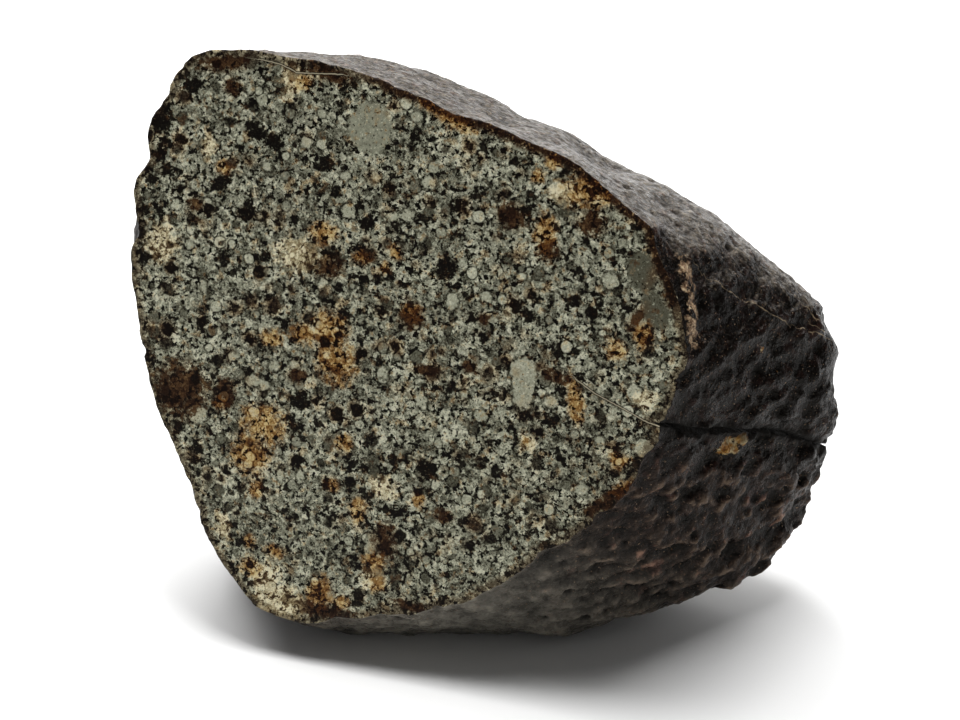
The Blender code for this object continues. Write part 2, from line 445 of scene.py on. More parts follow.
def open_for_editing(item, kind="FACE"):
    select_only(item)
    bpy.ops.object.mode_set(mode="EDIT")
    bpy.ops.mesh.select_mode(type=kind)
    bpy.ops.mesh.select_all(action="DESELECT")
    return bmesh.from_edit_mesh(item.data)


def close_editing():
    bpy.ops.object.mode_set(mode="OBJECT")


def pick_faces(item, wanted):
    """Open the piece for editing with only the faces selected that pass the test."""
    shape = open_for_editing(item)
    for face in shape.faces:
        face.select_set(wanted(face))
    bmesh.update_edit_mesh(item.data)


def points_of(item):
    """Vertex places in millimetres from the middle of the cut face."""
    places = np.empty(len(item.data.vertices) * 3)
    item.data.vertices.foreach_get("co", places)
    return (places.reshape(-1, 3) - np.array(FACE_MIDDLE)) / MM


def smooth_step(value, low, high):
    """Nothing below the low value, one above the high one, and a soft climb between."""
    share = np.clip((value - low) / (high - low), 0.0, 1.0)
    return share * share * (3.0 - 2.0 * share)


def stretch(bearing, begins, full, fades, ends):
    """One from where a stretch is full to where it fades, nothing before it begins or after it ends."""
    return smooth_step(bearing, begins, full) * smooth_step(-bearing, -ends, -fades)


# Rough stone

def rough_stone():
    """Fine even skin over the CAD solid, with spare stone in front of the cut and below."""
    node = frame["nodes"]["stone"]
    stone = bpy.data.objects.new("meteorite", node.data.copy())
    bpy.context.collection.objects.link(stone)
    open_for_editing(stone)
    bpy.ops.mesh.select_all(action="SELECT")
    bpy.ops.mesh.remove_doubles(threshold=SAME_POINT * MM)
    close_editing()
    pick_faces(stone, lambda face: face.normal.dot(FACE_OUT) > LEVEL
               and abs((face.calc_center_median() - FACE_MIDDLE).dot(FACE_OUT)) < ON_PLANE * MM)
    bpy.ops.mesh.extrude_region_move(TRANSFORM_OT_translate={"value": FACE_OUT * SPARE_STONE * MM})
    close_editing()
    pick_faces(stone, lambda face: face.normal.z < -LEVEL and face.calc_center_median().z < ON_PLANE * MM)
    bpy.ops.mesh.extrude_region_move(TRANSFORM_OT_translate={"value": (0.0, 0.0, -SPARE_STONE * MM)})
    close_editing()
    stone.data.remesh_voxel_size = CRUST_GRAIN * MM
    select_only(stone)
    bpy.ops.object.voxel_remesh()
    soften = stone.modifiers.new("soften", "SMOOTH")
    soften.iterations = SOFTENING
    bpy.ops.object.modifier_apply(modifier=soften.name)
    return stone


def weigh(item, name, weights):
    """Vertex group with the given weights, in even steps."""
    group = item.vertex_groups.new(name=name)
    steps = np.rint(np.clip(weights, 0.0, 1.0) * WEIGHT_STEPS).astype(int)
    for step in range(1, WEIGHT_STEPS + 1):
        chosen = np.nonzero(steps == step)[0].tolist()
        if chosen:
            group.add(chosen, step / WEIGHT_STEPS, "REPLACE")
    return group.name


def raise_relief(item, name, grain, where="", stretched_by=None):
    """Push the surface in and out by a cloudy pattern of the given height, a little more in than out."""
    size, height = grain
    pattern = bpy.data.textures.new(name, "CLOUDS")
    pattern.noise_depth = 3
    relief = item.modifiers.new(name, "DISPLACE")
    if stretched_by is None:
        pattern.noise_scale = size * MM
    else:
        pattern.noise_scale = size
        relief.texture_coords = "OBJECT"
        relief.texture_coords_object = stretched_by
    relief.texture = pattern
    relief.strength = height * MM
    relief.mid_level = INWARD_SHARE
    relief.vertex_group = where
    select_only(item)
    bpy.ops.object.modifier_apply(modifier=relief.name)


def press_in(item, name, weights, depth):
    """Sink the surface where the weights say, by up to the depth, or raise it if that is negative."""
    pit = item.modifiers.new(name, "DISPLACE")
    pit.strength = -depth * MM
    pit.mid_level = 0.0
    pit.vertex_group = weigh(item, name, weights)
    select_only(item)
    bpy.ops.object.modifier_apply(modifier=pit.name)


def bearings(places):
    """Bearing round the cut face and angle behind its plane, for every place."""
    right = places @ np.array(FACE_RIGHT)
    up = places @ np.array(FACE_UP)
    behind = -places @ np.array(FACE_OUT)
    return np.degrees(np.arctan2(up, right)), np.degrees(np.arctan2(behind, np.hypot(right, up)))


def pit_weights(places):
    """Bowl-shaped weights of the single pits and of many small ones drawn at random."""
    draw = np.random.default_rng(PIT_DRAW)
    pits = [(np.array(place), width, depth) for place, width, depth in PITS]
    for spot in draw.choice(len(places), SCATTERED_PITS, replace=False):
        width = draw.uniform(*PIT_WIDTHS)
        pits.append((places[spot], width, PIT_DEPTH * draw.uniform(0.4, 1.0)))
    deepest = max(depth for place, width, depth in pits)
    weights = np.zeros(len(places))
    for place, width, depth in pits:
        apart = np.linalg.norm(places - place, axis=1) / (width / 2)
        bowl = depth / deepest * (1.0 - smooth_step(apart, 0.25, 1.0))
        weights = np.maximum(weights, bowl)
    return weights, deepest


def normals_of(item):
    normals = np.empty(len(item.data.vertices) * 3)
    item.data.vertices.foreach_get("normal", normals)
    return normals.reshape(-1, 3)


def upward(item):
    """One on the roof of the stone, nothing on its sides and below."""
    return smooth_step(normals_of(item)[:, 2], 0.45, 0.75)


def from_crack(places):
    """Distance of every place from the line of the crack."""
    bearing, behind = bearings(places)
    rows = np.array(CRACK)
    off_line = np.radians(bearing - np.interp(behind, rows[:, 1], rows[:, 0]))
    return np.abs(off_line) * np.linalg.norm(places, axis=1)


def from_corner(places):
    return np.linalg.norm(places - np.array(FAR_CORNER), axis=1)


def close_groove(stone):
    """Rub out the coarse corner and groove of the CAD stone, so that the fine crack can be cut."""
    places = points_of(stone)
    bearing, behind = bearings(places)
    near = (1.0 - smooth_step(from_crack(places), 3.0, 5.0)) * smooth_step(-behind, -46.0, -42.0)
    near = np.maximum(near, 1.0 - smooth_step(from_corner(places), 4.0, 6.0))
    rub = stone.modifiers.new("rub", "SMOOTH")
    rub.iterations = GROOVE_RUBS
    rub.vertex_group = weigh(stone, "groove", np.where(behind > -8.0, near, 0.0))
    select_only(stone)
    bpy.ops.object.modifier_apply(modifier=rub.name)


def way_from(places, start, stop):
    """Shortest way from a straight piece of line to every place."""
    run = stop - start
    share = np.clip((places - start) @ run / (run @ run), 0.0, 1.0)
    return places - start - np.outer(share, run)


def along_line(places, line):
    """Distance of every place from a broken line, where it is near."""
    nearest = np.full(len(places), FAR_OFF)
    for start, stop in zip(line, line[1:]):
        gap = way_from(places, np.array(start), np.array(stop))
        nearest = np.minimum(nearest, np.linalg.norm(gap, axis=1))
    return nearest


def carve_crust(stone):
    """Give the crust its relief, from the broad dents to the single pits and the ridge."""
    bearing, behind = bearings(points_of(stone))
    flank = stretch(bearing, *RIGHT_FLANK)
    end = stretch(bearing, *RIGHT_END) * smooth_step(behind, 2.0, 12.0)
    calm = smooth_step(from_corner(points_of(stone)), 3.0, 8.0)
    sides = (1.0 - 0.75 * upward(stone)) * calm
    below = stretch(bearing, *UNDERSIDE)
    raise_relief(stone, "dents", DENTS, where=weigh(stone, "right_end", (0.25 + 0.75 * end) * sides))
    run = bpy.data.objects.new("fold_direction", None)
    bpy.context.collection.objects.link(run)
    run.scale = (FOLD_ACROSS * MM, FOLD_ALONG * MM, FOLD_ACROSS * MM)
    run.rotation_euler = Vector(FOLD_RUN).to_track_quat("Y", "Z").to_euler()
    bpy.context.view_layer.update()
    raise_relief(stone, "folds", FOLDS, where=weigh(stone, "right_flank", flank * calm), stretched_by=run)
    bpy.data.objects.remove(run)
    raise_relief(stone, "leather", LEATHER, where=weigh(stone, "flanks", sides * (1.0 - 0.5 * below)))
    raise_relief(stone, "roof_pitting", ROOF_PITTING, where=weigh(stone, "roof", upward(stone)))
    raise_relief(stone, "creases", CREASES)
    weights, depth = pit_weights(points_of(stone))
    press_in(stone, "pits", weights, depth)
    ridge = 1.0 - smooth_step(along_line(points_of(stone), BRONZE_RIDGE), 0.3, 2.2)
    press_in(stone, "bronze_ridge", ridge, -RIDGE_HEIGHT)


# Saw cut

def give_finishes(item, slot):
    """Give a piece both finishes, with all its faces in one of them: 0 crust, 1 sawn face."""
    item.data.materials.clear()
    item.data.materials.append(dark_crust)
    item.data.materials.append(sawn_face)
    item.data.polygons.foreach_set("material_index", [slot] * len(item.data.polygons))


def take_away(stone, cutter, name, solver="EXACT"):
    """Cut the shape of the cutter out of the stone."""
    cut = stone.modifiers.new(name, "BOOLEAN")
    cut.operation = "DIFFERENCE"
    cut.solver = solver
    cut.object = cutter
    select_only(stone)
    bpy.ops.object.modifier_apply(modifier=cut.name)
    bpy.data.objects.remove(cutter)


def saw_flat(stone):
    """Take off the spare stone with a thin slab whose back is the sawn face."""
    squares = round(SAW_SPAN / SAWN_GRAIN)
    bpy.ops.mesh.primitive_grid_add(x_subdivisions=squares, y_subdivisions=squares, size=SAW_SPAN * MM,
                                    location=FACE_MIDDLE, rotation=(math.radians(FACE_TURN), 0.0, 0.0))
    slab = bpy.context.object
    bpy.ops.object.transform_apply(location=True, rotation=True, scale=True)
    open_for_editing(slab)
    bpy.ops.mesh.select_all(action="SELECT")
    bpy.ops.mesh.extrude_region_move(TRANSFORM_OT_translate={"value": FACE_OUT * SAW_THICK * MM})
    bpy.ops.mesh.select_all(action="SELECT")
    bpy.ops.mesh.normals_make_consistent(inside=False)
    close_editing()
    give_finishes(stone, 0)
    give_finishes(slab, 1)
    take_away(stone, slab, "saw_cut")


def flatten_foot(stone):
    """Take off the spare stone below, so that the stone rests on a flat spot."""
    open_for_editing(stone)
    bpy.ops.mesh.select_all(action="SELECT")
    bpy.ops.mesh.bisect(plane_co=(0.0, 0.0, 0.0), plane_no=(0.0, 0.0, 1.0), use_fill=True,
                        clear_inner=True, threshold=0.001 * MM)
    close_editing()


# Crack

def stone_direction(bearing, behind):
    """Direction from the middle of the cut face at a bearing and an angle behind its plane."""
    turn = math.radians(bearing)
    dip = math.radians(behind)
    along_face = math.cos(turn) * FACE_RIGHT + math.sin(turn) * FACE_UP
    return math.cos(dip) * along_face - math.sin(dip) * FACE_OUT


def crack_stations(stone):
    """Points along the crack on the carved surface, and one in front, with its gap and depth."""
    rows = np.array(CRACK)
    marks = np.linspace(0, len(rows) - 1, (len(rows) - 1) * CRACK_STEPS + 1)
    stations = []
    for mark in marks:
        bearing, behind, gap, depth = [np.interp(mark, range(len(rows)), values) for values in rows.T]
        outward = stone_direction(bearing, behind)
        surface = stone.ray_cast(FACE_MIDDLE + outward * (OUTSIDE * MM), -outward)[1]
        stray = CRACK_WANDER * noise.noise(Vector((mark * 0.9, 3.7, 0.0)))
        wider = 1.0 + 0.5 * noise.noise(Vector((mark * 1.4, 9.1, 0.0)))
        stations.append((outward, surface, stray, gap * wider, depth))
    outward, surface, stray, gap, depth = stations[0]
    in_front = surface + FACE_OUT * CUTTER_STANDS_OUT * MM
    return [(outward, in_front, stray, gap, depth)] + stations


def split_crack(stone):
    """Cut the crack open with a long wedge, three-cornered at every station."""
    stations = crack_stations(stone)
    corners = []
    for index, (outward, surface, stray, gap, depth) in enumerate(stations):
        before = stations[max(index - 1, 0)][1]
        after = stations[min(index + 1, len(stations) - 1)][1]
        sideways = outward.cross(after - before).normalized()
        half_gap = gap / 2 * (depth + CUTTER_STANDS_OUT) / depth
        middle = surface + sideways * stray * MM
        outer = middle + outward * CUTTER_STANDS_OUT * MM
        to_side = sideways * half_gap * MM
        corners += [outer - to_side, outer + to_side, middle - outward * depth * MM]
    faces = [(0, 1, 2), (len(corners) - 1, len(corners) - 2, len(corners) - 3)]
    for ring in range(0, len(corners) - 3, 3):
        for corner in range(3):
            following = (corner + 1) % 3
            faces.append((ring + corner, ring + 3 + corner, ring + 3 + following, ring + following))
    mesh = bpy.data.meshes.new("wedge")
    mesh.from_pydata(corners, [], faces)
    wedge = bpy.data.objects.new("wedge", mesh)
    bpy.context.collection.objects.link(wedge)
    open_for_editing(wedge)
    bpy.ops.mesh.select_all(action="SELECT")
    bpy.ops.mesh.normals_make_consistent(inside=False)
    close_editing()
    give_finishes(wedge, 0)
    take_away(stone, wedge, "crack", solver="MANIFOLD")


def merge_slivers(stone):
    """Merge the points that the cuts left almost on top of each other."""
    open_for_editing(stone, "VERT")
    bpy.ops.mesh.select_all(action="SELECT")
    bpy.ops.mesh.remove_doubles(threshold=SLIVER * MM)
    bpy.ops.mesh.dissolve_degenerate(threshold=SLIVER * MM)
    bpy.ops.mesh.select_all(action="SELECT")
    bpy.ops.mesh.delete_loose()
    bpy.ops.mesh.select_all(action="SELECT")
    bpy.ops.mesh.quads_convert_to_tris(quad_method="BEAUTY", ngon_method="BEAUTY")
    close_editing()


# Painting: how strongly each stain, grain, painted shade and painted reflection shows at every vertex

def keep_paint(item, name, values):
    """Store one strength for each vertex, for the finishes to read."""
    layer = item.data.attributes.new(name, "FLOAT", "POINT")
    layer.data.foreach_set("value", np.asarray(values, dtype=np.float32))


def spot_reach(right, up, spots):
    """How far inside the nearest spot's edge each place lies, in millimetres."""
    reach = np.full(len(right), -3.0)
    for middle_right, middle_up, half_length, half_width, turn in spots:
        angle = math.radians(turn)
        across = right - middle_right
        along = up - middle_up
        first = (across * math.cos(angle) + along * math.sin(angle)) / half_length
        second = (along * math.cos(angle) - across * math.sin(angle)) / half_width
        inside = (1.0 - np.hypot(first, second)) * min(half_length, half_width)
        reach = np.maximum(reach, inside)
    return reach


def stain(right, up, spots):
    """Soft strength of a group of stains, from nothing to one."""
    strength = np.zeros(len(right))
    for spot in spots:
        reach = spot_reach(right, up, [spot]) / min(spot[2], spot[3])
        strength = np.maximum(strength, np.clip((reach + 0.25) / 1.25, 0.0, 1.0) ** 0.6)
    return strength


def line_sides(places, lines):
    """Distance to the nearest of some broken lines, negative on one side of it."""
    nearest = np.full(len(places), FAR_OFF)
    signed = np.full(len(places), FAR_OFF)
    for line in lines:
        for start, stop in zip(line, line[1:]):
            start, stop = np.array(start), np.array(stop)
            run = stop - start
            gap = way_from(places, start, stop)
            apart = np.linalg.norm(gap, axis=1)
            if len(run) == 2:
                side = np.sign(run[0] * gap[:, 1] - run[1] * gap[:, 0])
            else:
                side = np.sign(gap @ np.cross(run, start))
            closer = apart < nearest
            nearest[closer] = apart[closer]
            signed[closer] = (apart * side)[closer]
    return signed


def patch_strength(places, patches):
    """Soft strength of a group of round patches, from nothing to one."""
    strength = np.zeros(len(places))
    for place, width in patches:
        apart = np.linalg.norm(places - np.array(place), axis=1) / (width / 2)
        strength = np.maximum(strength, 1.0 - smooth_step(apart, 0.3, 1.2))
    return strength


def hollow_depths(stone):
    """How deep each place lies in a hollow, and whether the smoothed stone faces up there."""
    select_only(stone)
    bpy.ops.object.duplicate()
    smoothed = bpy.context.object
    smooth = smoothed.modifiers.new("hollow_smoothing", "SMOOTH")
    smooth.iterations = HOLLOW_SMOOTHING
    bpy.ops.object.modifier_apply(modifier=smooth.name)
    away = points_of(smoothed) - points_of(stone)
    roof = smooth_step(normals_of(smoothed)[:, 2], 0.55, 0.80)
    bpy.data.objects.remove(smoothed)
    return np.einsum("ij,ij->i", away, normals_of(stone)), roof


def paint_stone(stone):
    """Work out where each stain and grain of the finishes shows, and where painted shade and painted
    reflection go.
    """
    places = points_of(stone)
    right = places @ np.array(FACE_RIGHT)
    up = places @ np.array(FACE_UP)
    behind = -places @ np.array(FACE_OUT)
    off_face = behind > CRUST_BEGINS
    face_places = np.stack([right, up], axis=1)
    for name, value in (
            ("pale_grain", spot_reach(right, up, PALE_GRAINS)),
            ("dark_clast", spot_reach(right, up, DARK_CLASTS)),
            ("grey_clast", spot_reach(right, up, GREY_CLASTS)),
            ("olive_clast", spot_reach(right, up, OLIVE_CLASTS)),
            ("cream_stain", stain(right, up, CREAM_PATCHES)),
            ("ochre_stain", stain(right, up, OCHRE_PATCHES)),
            ("brown_stain", stain(right, up, BROWN_PATCHES))):
        keep_paint(stone, name, np.where(off_face, 0.0, value))
    line = np.where(off_face, line_sides(places, VEINS), line_sides(face_places, FACE_CRACKS))
    keep_paint(stone, "fine_line", line)
    outline = kdtree.KDTree(len(places))
    for index in np.nonzero(off_face & (behind < RIM_ENDS))[0]:
        outline.insert(places[index], int(index))
    outline.balance()
    from_edge = [FAR_OFF if off else outline.find(place)[2] for place, off in zip(places, off_face)]
    keep_paint(stone, "from_edge", from_edge)
    bearing, dip = bearings(places)
    keep_paint(stone, "edge_rind", stretch(bearing, *RUSTY_RIM))
    # Depth of the hollows, where the crust gets painted shade
    hollow, roof = hollow_depths(stone)
    keep_paint(stone, "hollow", np.clip(hollow, -1.0, 1.0))
    # Up-facing side, where the roof's paler colour goes, partly painted sheen
    keep_paint(stone, "top_side", roof)
    keep_paint(stone, "dull_top", smooth_step(bearing, 45.0, 95.0))
    beside_crack = 1.0 - smooth_step(from_crack(places), 0.5, 2.2)
    keep_paint(stone, "crack_shade", beside_crack * smooth_step(-dip, -36.0, -28.0))
    keep_paint(stone, "bronze", 1.0 - smooth_step(along_line(places, BRONZE_RIDGE), 0.5, 2.6))
    # Darker right end: partly its blacker crust, partly painted shade where it faces away from the light
    keep_paint(stone, "shaded_black_end", stretch(bearing, *SHADED_BLACK_END))
    # Painted reflection: the white floor seen in the foot's glossy crust, painted as a paler grey
    keep_paint(stone, "painted_floor_reflection", stretch(bearing, *REFLECTING_FOOT) * (1.0 - smooth_step(dip, 25.0, 50.0)))
    keep_paint(stone, "pale_chip", patch_strength(places, PALE_CHIPS))
    keep_paint(stone, "ruddy", patch_strength(places, RUDDY_PATCHES))


# Finishes

def paint(red, green, blue):
    """Colour as seen on screen, from 0 to 255, as the shader wants it."""
    seen = [channel / 255 for channel in (red, green, blue)]
    linear = [value / 12.92 if value < 0.04045 else ((value + 0.055) / 1.055) ** 2.4 for value in seen]
    return (*[LIGHT_ON_STONE * value for value in linear], 1.0)


class Finish:
    """A finish being mixed. Each call adds one node and gives back its output."""

    def __init__(self, name):
        self.material = bpy.data.materials.new(name)
        self.material.use_nodes = True
        self.tree = self.material.node_tree
        self.shader = self.tree.nodes["Principled BSDF"]
        place = self.add("ShaderNodeTexCoord", {}).outputs["Object"]
        self.place = self.vector("SCALE", {0: place, "Scale": 1.0 / MM})

    def add(self, kind, sockets, **settings):
        node = self.tree.nodes.new(kind)
        for name, value in settings.items():
            setattr(node, name, value)
        for name, value in sockets.items():
            if isinstance(value, bpy.types.NodeSocket):
                self.tree.links.new(value, node.inputs[name])
            else:
                node.inputs[name].default_value = value
        return node

    def vector(self, operation, sockets):
        return self.add("ShaderNodeVectorMath", sockets, operation=operation).outputs[0]

    def calc(self, operation, first, second=0.0):
        return self.add("ShaderNodeMath", {0: first, 1: second}, operation=operation).outputs[0]

    def times(self, first, second):
        return self.calc("MULTIPLY", first, second)

    def sum(self, first, *others):
        for other in others:
            first = self.calc("ADD", first, other)
        return first

    def dimmed(self, tone, where, amount):
        """The tone, lowered by that share of itself where the mask is one."""
        return self.calc("MULTIPLY", tone, self.between(where, 0.0, 1.0, 1.0, 1.0 - amount))

    def blend(self, share, under, over):
        return self.add("ShaderNodeMix", {0: share, 2: under, 3: over}, data_type="FLOAT").outputs[0]

    def bump(self, height, rise):
        bump = self.add("ShaderNodeBump", {"Height": height, "Distance": rise * MM, "Strength": 1.0})
        self.link(bump.outputs["Normal"], "Normal")

    def moved(self, steps, place=None):
        """The pattern coordinates, shifted so that two patterns of one kind differ."""
        shift = (7.3 * steps, -3.1 * steps, 5.7 * steps)
        return self.vector("ADD", {0: place or self.place, 1: shift})

    def clouds(self, size, seed, detail=2.0, rough=0.5, place=None):
        sockets = {"Vector": self.moved(seed, place), "Scale": 1.0 / size}
        sockets.update({"Detail": detail, "Roughness": rough})
        return self.add("ShaderNodeTexNoise", sockets).outputs["Fac"]

    def ruffled(self, size, amount, seed):
        """Coordinates pushed about, so that grains get uneven outlines."""
        sockets = {"Vector": self.moved(seed), "Scale": 1.0 / size, "Detail": 1.0}
        push = self.add("ShaderNodeTexNoise", sockets).outputs["Color"]
        centred = self.vector("SUBTRACT", {0: push, 1: (0.5, 0.5, 0.5)})
        return self.vector("ADD", {0: self.place, 1: self.vector("SCALE", {0: centred, "Scale": amount})})

    def grains(self, size, seed, place):
        return self.add("ShaderNodeTexVoronoi", {"Vector": self.moved(seed, place), "Scale": 1.0 / size})

    def chance(self, grains):
        """Three independent random values of each grain."""
        return self.add("ShaderNodeSeparateColor", {0: grains.outputs["Color"]}).outputs

    def between(self, value, low, high, low_gives=0.0, high_gives=1.0):
        """A soft climb from one result to the other as the value goes from low to high."""
        sockets = {"Value": value, "From Min": low, "From Max": high}
        sockets.update({"To Min": low_gives, "To Max": high_gives})
        return self.add("ShaderNodeMapRange", sockets, interpolation_type="SMOOTHSTEP").outputs[0]

    def ramp(self, value, stops):
        node = self.add("ShaderNodeValToRGB", {"Fac": value})
        scale = node.color_ramp.elements
        while len(scale) < len(stops):
            scale.new(0.5)
        for mark, (position, colour) in zip(scale, stops):
            mark.position = position
            mark.color = paint(*colour)
        return node.outputs["Color"]

    def mix(self, share, under, over):
        return self.add("ShaderNodeMix", {0: share, 6: under, 7: over}, data_type="RGBA").outputs[2]

    def painted(self, name):
        return self.add("ShaderNodeAttribute", {}, attribute_name=name).outputs["Fac"]

    def link(self, value, socket):
        self.tree.links.new(value, self.shader.inputs[socket])


def sawn_face_finish():
    """Polished section: pale and dark mineral grains, round chondrules and rust stains."""
    mix = Finish("sawn_face")
    uneven = mix.ruffled(0.9, 0.55, 1)
    dust = mix.clouds(0.34, 4, 4.0, 0.8)
    small = mix.chance(mix.grains(0.62, 2, uneven))
    middling = mix.chance(mix.grains(1.35, 3, uneven))
    broad = mix.clouds(5.0, 12, 2.0, 0.5)
    tone = mix.sum(-0.54, mix.times(small[0], 0.30), mix.times(middling[0], 0.24),
                   mix.times(dust, 1.20), mix.times(broad, 0.42))

    # Pale round chondrules, each with its own size and shade, in a thin dark rim
    cells = mix.grains(2.7, 5, mix.ruffled(1.0, 0.5, 6))
    luck = mix.chance(cells)
    radius = mix.between(luck[0], 0.25, 1.0, 0.1, 1.0)
    inside = mix.calc("SUBTRACT", radius, mix.times(cells.outputs["Distance"], 2.7))
    chondrule = mix.between(inside, -0.12, 0.14)
    rim = mix.times(mix.between(inside, -0.40, -0.05), mix.between(luck[0], 0.3, 0.4))
    shade = mix.sum(mix.between(luck[1], 0.0, 1.0, 0.02, 0.52), mix.times(dust, 0.75), -0.10)
    tone = mix.dimmed(tone, rim, 0.38)
    tone = mix.blend(mix.times(chondrule, 0.85), tone, shade)

    # Dark chondrules, brown-black and grainy inside
    dark_cells = mix.grains(3.1, 15, mix.ruffled(1.2, 1.3, 16))
    dark_luck = mix.chance(dark_cells)
    dark_radius = mix.between(dark_luck[0], 0.25, 1.0, 0.0, 1.18)
    dark_inside = mix.calc("SUBTRACT", dark_radius, mix.times(dark_cells.outputs["Distance"], 3.1))
    dark_round = mix.between(dark_inside, -0.15, 0.22)
    dark_shade = mix.sum(mix.between(dark_luck[1], 0.0, 1.0, -0.34, -0.12), mix.times(dust, 0.80))
    tone = mix.blend(mix.times(dark_round, 0.92), tone, dark_shade)

    # Black gaps between grains, and larger dark patches
    open_ground = mix.calc("SUBTRACT", 1.0, mix.times(chondrule, 0.85))
    gaps = mix.between(mix.clouds(0.80, 7, 3.0, 0.6, uneven), 0.52, 0.62)
    patches = mix.between(mix.clouds(2.3, 8, 4.0, 0.62, uneven), 0.56, 0.64)
    tone = mix.dimmed(tone, mix.times(gaps, open_ground), 0.88)
    tone = mix.dimmed(tone, mix.times(patches, open_ground), 0.72)

    # The grains and clasts that stand out
    wobble = mix.times(mix.calc("SUBTRACT", mix.clouds(0.8, 13, 3.0, 0.6), 0.5), 1.5)
    pale_reach = mix.sum(mix.painted("pale_grain"), wobble)
    pale = mix.between(pale_reach, -0.10, 0.30)
    tone = mix.dimmed(tone, mix.between(pale_reach, -0.50, -0.10), 0.35)
    tone = mix.blend(pale, tone, mix.sum(0.22, mix.times(dust, 0.65), mix.times(broad, 0.22)))
    grey = mix.between(mix.sum(mix.painted("grey_clast"), wobble), -0.2, 0.4)
    grey_shade = mix.sum(0.41, mix.times(dust, 0.24), mix.times(small[0], 0.06))
    tone = mix.blend(mix.times(grey, 0.95), tone, grey_shade)
    olive = mix.between(mix.sum(mix.painted("olive_clast"), wobble), -0.2, 0.3)
    tone = mix.blend(olive, tone, mix.sum(0.23, mix.times(dust, 0.28)))
    dark = mix.between(mix.sum(mix.painted("dark_clast"), wobble, wobble), -0.15, 0.40)
    tone = mix.blend(mix.times(dark, 0.92), tone, mix.sum(-0.30, mix.times(dust, 0.75)))

    # Bright and black specks all over
    sparks = mix.clouds(0.42, 17, 2.0, 0.6)
    tone = mix.sum(tone, mix.between(sparks, 0.60, 0.74, 0.0, 0.26))
    tone = mix.dimmed(tone, mix.between(sparks, 0.40, 0.30), 0.55)

    # Stains, broken up by the grain
    breakup = mix.times(mix.calc("SUBTRACT", mix.clouds(1.2, 14, 4.0, 0.7), 0.5), 2.4)
    cream = mix.between(mix.sum(mix.painted("cream_stain"), breakup), 0.10, 0.70)
    ochre = mix.between(mix.sum(mix.painted("ochre_stain"), breakup), 0.15, 0.80)
    brown = mix.between(mix.sum(mix.painted("brown_stain"), breakup), 0.20, 0.70)
    brown = mix.dimmed(brown, olive, 0.9)
    halo = mix.calc("MAXIMUM", mix.painted("ochre_stain"), mix.painted("brown_stain"))
    edge = mix.between(mix.sum(mix.painted("from_edge"), breakup), 1.9, 0.7)
    rind = mix.times(edge, mix.between(mix.painted("edge_rind"), 0.0, 1.0, 0.45, 1.0))
    tone = mix.sum(mix.times(tone, 1.38), -0.155, mix.times(cream, 0.20), mix.times(ochre, 0.05))
    tone = mix.dimmed(tone, brown, 0.58)
    tone = mix.dimmed(tone, rind, 0.74)
    tone = mix.sum(tone, mix.times(rind, mix.between(sparks, 0.54, 0.68, 0.0, 0.34)))

    weathering = mix.between(mix.clouds(9.0, 9, 3.0, 0.6), 0.44, 0.66, 0.0, 0.75)
    near_dark = mix.times(mix.between(dark_inside, -1.2, -0.1), weathering)
    speckles = mix.between(mix.clouds(1.9, 10, 3.0, 0.6), 0.58, 0.66, 0.0, 0.75)
    redness = mix.calc("MAXIMUM", mix.calc("MAXIMUM", brown, rind), mix.calc("MAXIMUM", near_dark, speckles))
    redness = mix.calc("MAXIMUM", redness, mix.times(halo, 0.8))
    colour = mix.mix(redness, mix.ramp(tone, FRESH), mix.ramp(tone, STAINED))
    colour = mix.mix(mix.times(cream, 0.9), colour, mix.ramp(tone, CREAM))
    colour = mix.mix(mix.times(ochre, 0.85), colour, mix.ramp(tone, OCHRE))
    line = mix.calc("ABSOLUTE", mix.sum(mix.painted("fine_line"), mix.times(wobble, 0.18)))
    colour = mix.mix(mix.between(line, 0.34, 0.10), colour, paint(20, 16, 11))
    colour = mix.mix(mix.between(line, 0.12, 0.05), colour, paint(150, 142, 120))
    mix.link(colour, "Base Color")
    mix.shader.inputs["Roughness"].default_value = 0.38
    mix.shader.inputs["Specular IOR Level"].default_value = 0.07
    mix.bump(mix.sum(mix.times(gaps, -0.5), dust), 0.03)
    return mix.material


